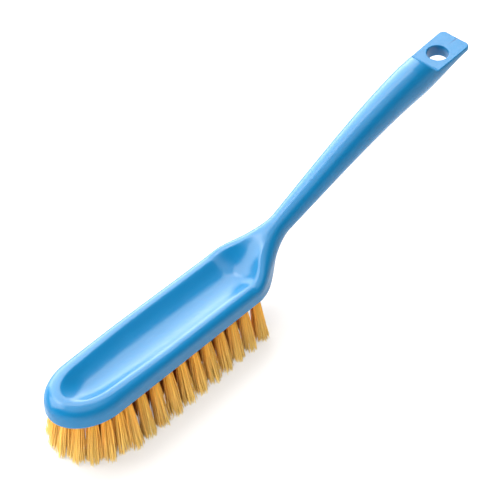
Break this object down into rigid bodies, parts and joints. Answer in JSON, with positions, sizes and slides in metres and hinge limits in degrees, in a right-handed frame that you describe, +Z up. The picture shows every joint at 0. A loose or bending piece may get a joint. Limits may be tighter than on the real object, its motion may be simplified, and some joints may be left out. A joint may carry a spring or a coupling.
{
  "type": "shoe brush",
  "caption": "Shoe cleaning brush: a long dished head with stapled bristle tufts under it, and a raised round handle that ends in a flat hanging tab.",
  "frame": {"origin": "on the surface the brush stands on, under the centre of its bounding box", "axes": "+X along the brush from the toe of the head to the hanging tab, +Y across it, +Z up; the bristle tips lie on z = 0"},
  "size_m": [0.3082, 0.0502, 0.0771],
  "materials": {
    "moulding": "glossy injection-moulded polypropylene, sky blue",
    "bristle": "amber-yellow extruded polypropylene filament, cut level at the tips"
  },
  "bodies": {
    "root": {"brush_body": "moulding", "tuft_inner_10_far": "bristle", "tuft_inner_10_near": "bristle", "tuft_inner_11_far": "bristle", "tuft_inner_11_near": "bristle", "tuft_inner_12_far": "bristle", "tuft_inner_12_near": "bristle", "tuft_inner_1_far": "bristle", "tuft_inner_1_near": "bristle", "tuft_inner_2_far": "bristle", "tuft_inner_2_near": "bristle", "tuft_inner_3_far": "bristle", "tuft_inner_3_near": "bristle", "tuft_inner_4_far": "bristle", "tuft_inner_4_near": "bristle", "tuft_inner_5_far": "bristle", "tuft_inner_5_near": "bristle", "tuft_inner_6_far": "bristle", "tuft_inner_6_near": "bristle", "tuft_inner_7_far": "bristle", "tuft_inner_7_near": "bristle", "tuft_inner_8_far": "bristle", "tuft_inner_8_near": "bristle", "tuft_inner_9_far": "bristle", "tuft_inner_9_near": "bristle", "tuft_side_10_far": "bristle", "tuft_side_10_near": "bristle", "tuft_side_11_far": "bristle", "tuft_side_11_near": "bristle", "tuft_side_1_far": "bristle", "tuft_side_1_near": "bristle", "tuft_side_2_far": "bristle", "tuft_side_2_near": "bristle", "tuft_side_3_far": "bristle", "tuft_side_3_near": "bristle", "tuft_side_4_far": "bristle", "tuft_side_4_near": "bristle", "tuft_side_5_far": "bristle", "tuft_side_5_near": "bristle", "tuft_side_6_far": "bristle", "tuft_side_6_near": "bristle", "tuft_side_7_far": "bristle", "tuft_side_7_near": "bristle", "tuft_side_8_far": "bristle", "tuft_side_8_near": "bristle", "tuft_side_9_far": "bristle", "tuft_side_9_near": "bristle", "tuft_toe_0": "bristle", "tuft_toe_1_far": "bristle", "tuft_toe_1_near": "bristle", "tuft_toe_2_far": "bristle", "tuft_toe_2_near": "bristle", "tuft_toe_3_far": "bristle", "tuft_toe_3_near": "bristle", "tuft_toe_4_far": "bristle", "tuft_toe_4_near": "bristle"}
  },
  "joints": []
}
